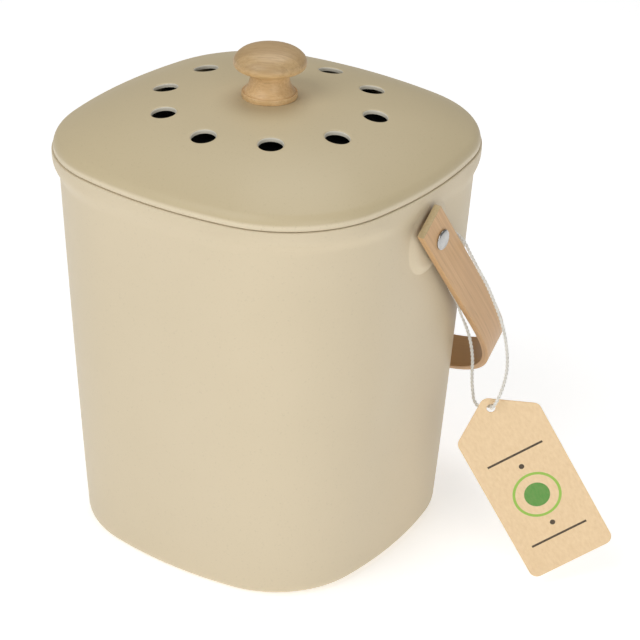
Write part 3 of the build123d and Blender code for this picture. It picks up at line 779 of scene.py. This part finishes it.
b = Build()
rows = (0.155, 0.20, 0.25, 0.30, 0.35, 0.40, 0.45, 0.50, 0.55, 0.60, 0.65, 0.70, 0.75, 0.80, 0.845, 0.885, 0.92, 0.945)
rings = []
for vx, vy in VENTS:
    rings += [circle2(vx, vy, r) for r in (6.8, 7.2, 8.2)]
rings.append(circle2(0, 0, 2.55))
pts, tri = patch(lid_loop(EDGE_S), lid_points(rows), rings, [(vx, vy, 6.8) for vx, vy in VENTS] + [(0, 0, 2.55)])
b.tris([(x, y, lid_top(x, y)) for x, y in pts], tri)
rings = []
for vx, vy in VENTS:
    rings += [circle2(vx, vy, r) for r in (5.7, 7.2)]
rings.append(circle2(0, 0, 2.55))
pts, tri = patch(lid_loop(0.925), lid_points(rows[:-2]), rings, [(vx, vy, 5.7) for vx, vy in VENTS] + [(0, 0, 2.55)])
b.tris([(x, y, lid_under(x, y)) for x, y in pts], tri)
for vx, vy in VENTS:
    stack = []
    for i in range(7):
        a = radians(90 * i / 6)
        stack.append([(x, y, lid_top(x, y) - 1.1 * (1 - cos(a))) for x, y in circle2(vx, vy, 5.7 + 1.1 * (1 - sin(a)))])
    stack.append([(x, y, lid_under(x, y)) for x, y in circle2(vx, vy, 5.7)])
    b.ring_stack(stack)
b.ring_stack([[(x, y, f(x, y)) for x, y in circle2(0, 0, 2.55)] for f in (lid_top, lid_under)])
edge = []
z_edge = dome(EDGE_S)
for i in range(13):
    a = radians(30 + 60 * i / 12)
    s = 1 - EDGE_R * (1 - sin(a)) / LID[0]
    if i == 0:
        s = EDGE_S
    edge.append([(x * s, y * s, RIM_Z + z_edge - EDGE_R * (cos(radians(30)) - cos(a))) for x, y in LID_LINE])
edge.append([(x, y, RIM_Z + 0.55) for x, y in LID_LINE])
for i in range(1, 4):
    a = radians(90 * i / 3)
    s = 1 - 0.3 * (1 - cos(a)) / LID[0]
    edge.append([(x * s, y * s, RIM_Z + 0.55 - 0.3 * sin(a)) for x, y in LID_LINE])
si = 1 - LID_T / LID[0]
edge.append([(x * si, y * si, RIM_Z + 0.25) for x, y in LID_LINE])
edge.append([(x * si, y * si, RIM_Z + 1.6) for x, y in LID_LINE])
edge.append([(x * 0.925, y * 0.925, lid_under(x * 0.925, y * 0.925)) for x, y in LID_LINE])
b.ring_stack(edge)


def hoop(outer, inner, z0, z1, soft=0.4):
    """closed ring of rectangular section with softened lower edges"""
    mid = lambda p, q, t: [(u[0] + (v[0] - u[0]) * t, u[1] + (v[1] - u[1]) * t) for u, v in zip(p, q)]
    w = hypot(outer[0][0] - inner[0][0], outer[0][1] - inner[0][1])
    rows_ = [(outer, z1), (outer, z0 + soft), (mid(outer, inner, 0.3 * soft / w), z0 + 0.3 * soft), (mid(outer, inner, soft / w), z0),
             (mid(outer, inner, 1 - soft / w), z0), (mid(outer, inner, 1 - 0.3 * soft / w), z0 + 0.3 * soft), (inner, z0 + soft), (inner, z1), (outer, z1)]
    b.ring_stack([[(x, y, z) for x, y in line_] for line_, z in rows_])


hoop(outline(86.2, 64.0, 395.0), outline(84.0, 61.8, 392.8), RIM_Z - 10.0, RIM_Z + 7.0)
hoop(circle2(0, 0, 62.4, 120), circle2(0, 0, 60.4, 120), RIM_Z + 3.2, RIM_Z + 17.3)
lid = new_object("lid", b.v, b.f, 40)
put(lid, "lid", MAT_LID, "lid_beige", "lid_shell")
# the walls of the vents get a paler tone than the lid: painted light for the front light falling on them
lid.data.materials.append(MAT_VENT_PAINTED_LIGHT)
for face in lid.data.polygons:
    c = face.center / MM
    if c.z > RIM_Z + 11 and min(hypot(c.x - vx, c.y - vy) for vx, vy in VENTS) < 6.0:
        face.material_index = 1

# ------------------------------------------------------------------ turned knob
seat = RIM_Z + dome(0.155)


def smooth_line(points, n):
    """Catmull-Rom through (radius, height) points"""
    out = []
    p = [points[0]] + points + [points[-1]]
    for i in range(1, len(p) - 2):
        for k in range(n):
            t = k / n
            out.append(tuple(0.5 * (2 * p[i][c] + (p[i + 1][c] - p[i - 1][c]) * t
                                    + (2 * p[i - 1][c] - 5 * p[i][c] + 4 * p[i + 1][c] - p[i + 2][c]) * t * t
                                    + (3 * p[i][c] - p[i - 1][c] - 3 * p[i + 1][c] + p[i + 2][c]) * t ** 3) for c in (0, 1)))
    return out + [points[-1]]


low = [(4.0, 0.0), (12.8, 0.0), (13.08, 0.1), (13.2, 0.4), (13.2, 2.0), (13.12, 2.45), (12.9, 2.72), (12.6, 2.8), (12.25, 2.72), (12.1, 2.85)]
neck = smooth_line([(12.1, 2.85), (11.75, 3.4), (11.15, 4.2), (10.2, 5.6), (9.45, 7.9), (9.2, 10.4), (9.9, 12.1), (11.7, 13.1), (13.6, 13.75), (15.3, 14.2)], 4)
head = smooth_line([(15.3, 14.2), (16.4, 14.9), (17.05, 16.0), (17.2, 17.3), (16.7, 19.0), (15.4, 20.6), (13.7, 21.95), (11.6, 22.9), (9.0, 23.75),
                    (6.2, 24.3), (3.0, 24.62), (0.15, 24.7)], 4)
b = Build()
rows3 = revolve([(r, z + seat) for r, z in low + neck[1:] + head[1:]], 112)
b.ring_stack(rows3, cap=(False, True))
b.ring_stack([rows3[0]] + revolve([(4.0, seat + 14.0), (0.1, seat + 14.0)], 112), cap=(False, True))
knob = new_object("knob", b.v, b.f, 32)
attr = knob.data.attributes.new("grain", "FLOAT_VECTOR", "POINT")
for v, a in zip(knob.data.vertices, attr.data):
    # the blank's fibres lie across the knob, a little off level
    x, y, z = v.co.x, v.co.y, v.co.z - seat * MM
    a.vector = (x * 0.883 + y * 0.469 + z * 0.05, -x * 0.469 + y * 0.883, z)
put(knob, "lid", MAT_KNOB, "knob_wood", "lid_knob")

# ------------------------------------------------------------------ bent strip handle
ARM_X, STRIP_T, STRIP_W, BAIL_L, BEND_H, BEND_N, ARM_END = 93.6, 3.5, 18.0, 145.0, 79.4, 3.0, 15.8
ang = radians(38.75)
down = Vector((0, sin(ang), -cos(ang)))
over = Vector((0, cos(ang), sin(ang)))
pivot = Vector((0, 0, PIVOT_Z))
STRAIGHT = BAIL_L - BEND_H

# the bend's inner line from the end of the straight arm to the middle of the grip: (length so far, x, along, normal)
bend = []
for i in range(401):
    u = i / 400
    t = radians(90 * (3 * u * u - 2 * u ** 3))
    c, d = max(cos(t), 1e-9), max(sin(t), 1e-9)
    nx, na = c ** (2 - 2 / BEND_N) / ARM_X, d ** (2 - 2 / BEND_N) / BEND_H
    m = hypot(nx, na)
    px, pa = ARM_X * c ** (2 / BEND_N), STRAIGHT + BEND_H * d ** (2 / BEND_N)
    far = 0.0 if not bend else bend[-1][0] + hypot(px - bend[-1][1], pa - bend[-1][2])
    bend.append((far, px, pa, nx / m, na / m))
BEND_LEN = bend[-1][0]
LENGTH = 2 * (STRAIGHT + BEND_LEN)


def strip_frame(s):
    """inner surface point and outward normal in the bail's plane (X, along), at the distance s from the right pivot"""
    if s > LENGTH / 2:
        (x, a_), (nx_, na_) = strip_frame(LENGTH - s)
        return (-x, a_), (-nx_, na_)
    if s <= STRAIGHT:
        return (ARM_X, s), (1, 0)
    k, want = 1, s - STRAIGHT
    while k < 400 and bend[k][0] < want:
        k += 1
    p, q = bend[k - 1], bend[k]
    f = (want - p[0]) / max(q[0] - p[0], 1e-9)
    x, a_, nx_, na_ = (p[i] + (q[i] - p[i]) * f for i in (1, 2, 3, 4))
    m_ = hypot(nx_, na_)
    return (x, a_), (nx_ / m_, na_ / m_)


def section(half_w, t0, t1, edge_r):
    """rounded rectangle in (thickness, width)"""
    out = []
    for ct, cw, a0 in ((t1 - edge_r, half_w - edge_r, 0), (t0 + edge_r, half_w - edge_r, 90),
                       (t0 + edge_r, -half_w + edge_r, 180), (t1 - edge_r, -half_w + edge_r, 270)):
        for k in range(5):
            a = radians(a0 + 90 * k / 4)
            out.append((ct + edge_r * cos(a), cw + edge_r * sin(a)))
        if a0 == 90:
            out += [(t0, w * (half_w - edge_r)) for w in (0.66, 0.33, 0, -0.33, -0.66)]
        if a0 == 270:
            out += [(t1, w * (half_w - edge_r)) for w in (-0.66, -0.33, 0, 0.33, 0.66)]
    return out


stations = []
for u in (0.0, 0.05, 0.13, 0.24, 0.36, 0.5):
    stations.append((-ARM_END + u, STRIP_W / 2 - 0.5 + sqrt(max(0.0, 0.25 - (0.5 - u) ** 2)), 0.16 if u == 0 else 0.05 if u < 0.1 else 0.0))
n_mid = 170
first, final = -ARM_END + 0.5, LENGTH + ARM_END - 0.5
for i in range(1, n_mid):
    stations.append((first + (final - first) * i / n_mid, STRIP_W / 2, 0.0))
stations += [(LENGTH - s, hw, cut) for s, hw, cut in stations[:6][::-1]]
b = Build()
loops = []
for s, hw, cut in stations:
    (px, pa), (nx, na) = strip_frame(s)
    ring = []
    for t, w in section(hw - cut * 0.6, cut, STRIP_T - cut, 0.38):
        p = pivot + Vector((px + nx * t, 0, 0)) + down * (pa + na * t) + over * w
        ring.append(tuple(p))
    loops.append(ring)
b.ring_stack(loops, cap=(True, True))
handle = new_object("bail", b.v, b.f, 38)

cut = Build()
cut.ring_stack([[(x, 3.3 * cos(tau * j / 64), PIVOT_Z + 3.3 * sin(tau * j / 64)) for j in range(64)] for x in (-110, 110)], cap=(True, True))
cutter = new_object("bail_cutter", cut.v, cut.f)
mod = handle.modifiers.new("holes", "BOOLEAN")
mod.operation, mod.solver, mod.object = "DIFFERENCE", "EXACT", cutter
bpy.context.view_layer.update()
mesh = bpy.data.meshes.new_from_object(handle.evaluated_get(bpy.context.evaluated_depsgraph_get()))
handle.modifiers.clear()
handle.data = mesh
bpy.data.objects.remove(cutter)
for p in mesh.polygons:
    p.use_smooth = True
mesh.set_sharp_from_angle(angle=radians(38))
attr = mesh.attributes.new("grain", "FLOAT_VECTOR", "POINT")
for v, a in zip(mesh.vertices, attr.data):
    d = v.co / MM - pivot
    along, w, x = d.dot(down), d.dot(over), abs(d.x)
    side = 1 if d.x > 0 else -1
    if along <= STRAIGHT:
        s, t = along, x - ARM_X
    else:
        far, qx, qa, qnx, qna = min(bend, key=lambda e: (x - e[1]) ** 2 + (along - e[2]) ** 2)
        s, t = STRAIGHT + far, (x - qx) * qnx + (along - qa) * qna
    s = s if side > 0 else LENGTH - s
    a.vector = (s * MM, w * MM, t * MM)
put(handle, "handle", MAT_HANDLE, "handle_wood", "handle_bail")
# sawn end grain at the arms' ends
mesh.materials.append(MAT_HANDLE_END)
for face in mesh.polygons:
    if (face.center / MM - pivot).dot(down) < -ARM_END + 0.12:
        face.material_index = 1

# ------------------------------------------------------------------ domed pivot screws
for side, name in ((1, "right"), (-1, "left")):
    b = Build()
    prof = [(0.05, 78.6), (2.3, 78.6), (2.5, 78.9), (2.5, 97.2), (4.7, 97.2), (4.85, 97.25), (4.9, 97.38), (4.9, 97.68), (4.83, 97.82),
            (4.62, 97.98), (4.3, 98.14), (3.8, 98.30), (3.1, 98.43), (2.3, 98.52), (1.3, 98.58), (0.05, 98.6)]
    rows4 = []
    for r, x in prof:
        rows4.append([(side * x, side * r * cos(tau * j / 64), PIVOT_Z + r * sin(tau * j / 64)) for j in range(64)])
    b.ring_stack(rows4, cap=(True, True))
    screw = new_object(f"pivot_head_{name}", b.v, b.f, 40)
    put(screw, "bin", MAT_CHROME, "chrome", f"pivot_screw_{name}")

# ------------------------------------------------------------------ CAD nodes that keep their shape
carried = {"lid_seal": silicone(), "carbon_filter": carbon(), "filter_cover": MAT_COVER, "knob_insert": MAT_BRASS,
           "knob_washer": MAT_STEEL, "knob_screw": MAT_STEEL}
for side in ("right", "left"):
    carried[f"pivot_bush_{side}"] = MAT_BRASS
    carried[f"pivot_spacer_{side}"] = MAT_NYLON
    carried[f"inner_washer_{side}"] = MAT_STEEL
    carried[f"pivot_nut_{side}"] = MAT_STEEL
for node, material in carried.items():
    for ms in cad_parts[node].material_slots:
        ms.material = material

# ------------------------------------------------------------------ floor and light
floor_mesh = bpy.data.meshes.new("floor")
floor_mesh.from_pydata([(-6, -6, -0.0002), (6, -6, -0.0002), (6, 6, -0.0002), (-6, 6, -0.0002)], [], [(0, 1, 2, 3)])
floor = bpy.data.objects.new("floor", floor_mesh)
bpy.context.collection.objects.link(floor)
fm = Nodes("floor_white")
fn = fm.noise(fm.coord, 3.0, 2.0, 0.5)
floor_mesh.materials.append(fm.done(fm.ramp(fn, [(0.3, (0.91, 0.91, 0.91)), (0.7, (0.93, 0.93, 0.93))]), fm.span(fn, 0.9, 1.0),
                                  Emission_Color=(1, 1, 1, 1), Emission_Strength=0.42))


def area(name, loc, target, size, power, color=(1, 1, 1)):
    d = bpy.data.lights.new(name, "AREA")
    d.shape, d.size, d.energy, d.color = "DISK", size, power, color
    o = bpy.data.objects.new(name, d)
    bpy.context.collection.objects.link(o)
    o.location = loc
    o.rotation_mode = "QUATERNION"
    o.rotation_quaternion = (Vector(target) - Vector(loc)).to_track_quat("-Z", "Y")


area("key", (-0.45, -1.55, 0.80), (0, 0, 0.1), 1.2, 2.5)
area("high", (-0.2, -1.2, 1.5), (0, 0, 0.1), 1.2, 10.9)
area("fill", (1.35, -0.85, 0.65), (0, 0, 0.1), 1.1, 6.7)
area("top", (-0.2, 0.5, 1.6), (0, 0, 0.1), 1.2, 8.9)
bpy.context.scene.view_settings.view_transform = "Standard"
world = bpy.data.worlds.new("studio")
bpy.context.scene.world = world
world.use_nodes = True
world.node_tree.nodes["Background"].inputs[0].default_value = (1, 1, 1, 1)
world.node_tree.nodes["Background"].inputs[1].default_value = 0.22
